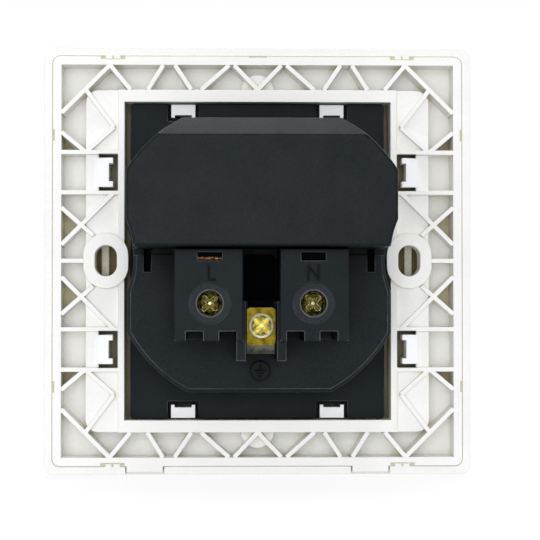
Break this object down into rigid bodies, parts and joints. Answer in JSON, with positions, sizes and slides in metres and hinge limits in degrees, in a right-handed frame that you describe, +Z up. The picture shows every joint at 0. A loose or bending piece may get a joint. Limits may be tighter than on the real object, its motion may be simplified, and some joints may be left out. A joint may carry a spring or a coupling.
{
  "type": "usb wall socket",
  "caption": "Square wall socket with a round earthed plug well and USB ports in front, and a ribbed mounting frame, dark terminal base and charger box behind.",
  "frame": {"origin": "middle between the wall screw slots, on the plane of the wall (rear faces of the screw bosses)", "axes": "+Z up on the wall, +Y into the wall box, so the plug side faces -Y; +X to the right seen from the room"},
  "size_m": [0.086, 0.0425, 0.086],
  "materials": {
    "white_plastic": "moulded white plastic, satin gloss",
    "black_plastic": "charcoal moulded polyamide, fine spark texture",
    "contact_copper": "copper alloy sheet",
    "zinc_steel": "zinc plated steel",
    "brass_screw": "bright brass",
    "brass_sheet": "stamped brass sheet",
    "circuit_board": "green solder mask",
    "ferrite": "dark ferrite",
    "winding_tape": "yellow winding tape",
    "capacitor_sleeve": "dark sleeve on an aluminium can",
    "chip_resin": "moulded black resin",
    "fuse_body": "lacquered body",
    "header_plastic": "black header with pins",
    "port_steel": "bright plated sheet",
    "tongue_plastic": "white insulator",
    "brown_lead": "brown insulated wire",
    "blue_lead": "blue insulated wire"
  },
  "bodies": {
    "socket": {"face_cover": "white_plastic", "mounting_frame": "white_plastic", "front_insert": "white_plastic", "socket_base": "black_plastic", "charger_cover": "black_plastic", "live_contact": "contact_copper", "neutral_contact": "contact_copper", "earth_strap": "zinc_steel", "charger_board": "circuit_board", "port_board": "circuit_board", "transformer_core": "ferrite", "transformer_coil": "winding_tape", "input_capacitor": "capacitor_sleeve", "output_capacitor": "capacitor_sleeve", "bridge_rectifier": "chip_resin", "driver_chip": "chip_resin", "fuse_link": "fuse_body", "link_header": "header_plastic", "left_usb_shell": "port_steel", "right_usb_shell": "port_steel", "left_usb_tongue": "tongue_plastic", "right_usb_tongue": "tongue_plastic", "live_lead": "brown_lead", "neutral_lead": "blue_lead"},
    "live_screw": {"live_screw": "brass_screw"},
    "live_clamp": {"live_clamp": "zinc_steel"},
    "neutral_screw": {"neutral_screw": "brass_screw"},
    "neutral_clamp": {"neutral_clamp": "zinc_steel"},
    "earth_saddle": {"earth_saddle": "brass_sheet"},
    "earth_screw": {"earth_screw": "brass_screw"}
  },
  "joints": [
    {"name": "live_screw_turn", "type": "hinge", "parent": "socket", "child": "live_screw", "pos_m": [0.0095, 0.0205, -0.0084], "axis": [0, -1, 0], "range_deg": [0, 1235]},
    {"name": "live_clamp_slide", "type": "slide", "parent": "socket", "child": "live_clamp", "axis": [0, 1, 0], "range_m": [0, 0.0024]},
    {"name": "neutral_screw_turn", "type": "hinge", "parent": "socket", "child": "neutral_screw", "pos_m": [-0.0095, 0.0205, -0.0084], "axis": [0, -1, 0], "range_deg": [0, 1235]},
    {"name": "neutral_clamp_slide", "type": "slide", "parent": "socket", "child": "neutral_clamp", "axis": [0, 1, 0], "range_m": [0, 0.0024]},
    {"name": "earth_saddle_slide", "type": "slide", "parent": "socket", "child": "earth_saddle", "axis": [0, -1, 0], "range_m": [0, 0.0014]},
    {"name": "earth_screw_turn", "type": "hinge", "parent": "earth_saddle", "child": "earth_screw", "pos_m": [0, 0.0232, -0.0125], "axis": [0, -1, 0], "range_deg": [0, 721]}
  ],
  "couplings": [
    {"joint": "live_screw_turn", "follows": "live_clamp_slide", "rad_per_m": 8976},
    {"joint": "neutral_screw_turn", "follows": "neutral_clamp_slide", "rad_per_m": 8976},
    {"joint": "earth_screw_turn", "follows": "earth_saddle_slide", "rad_per_m": 8976}
  ]
}
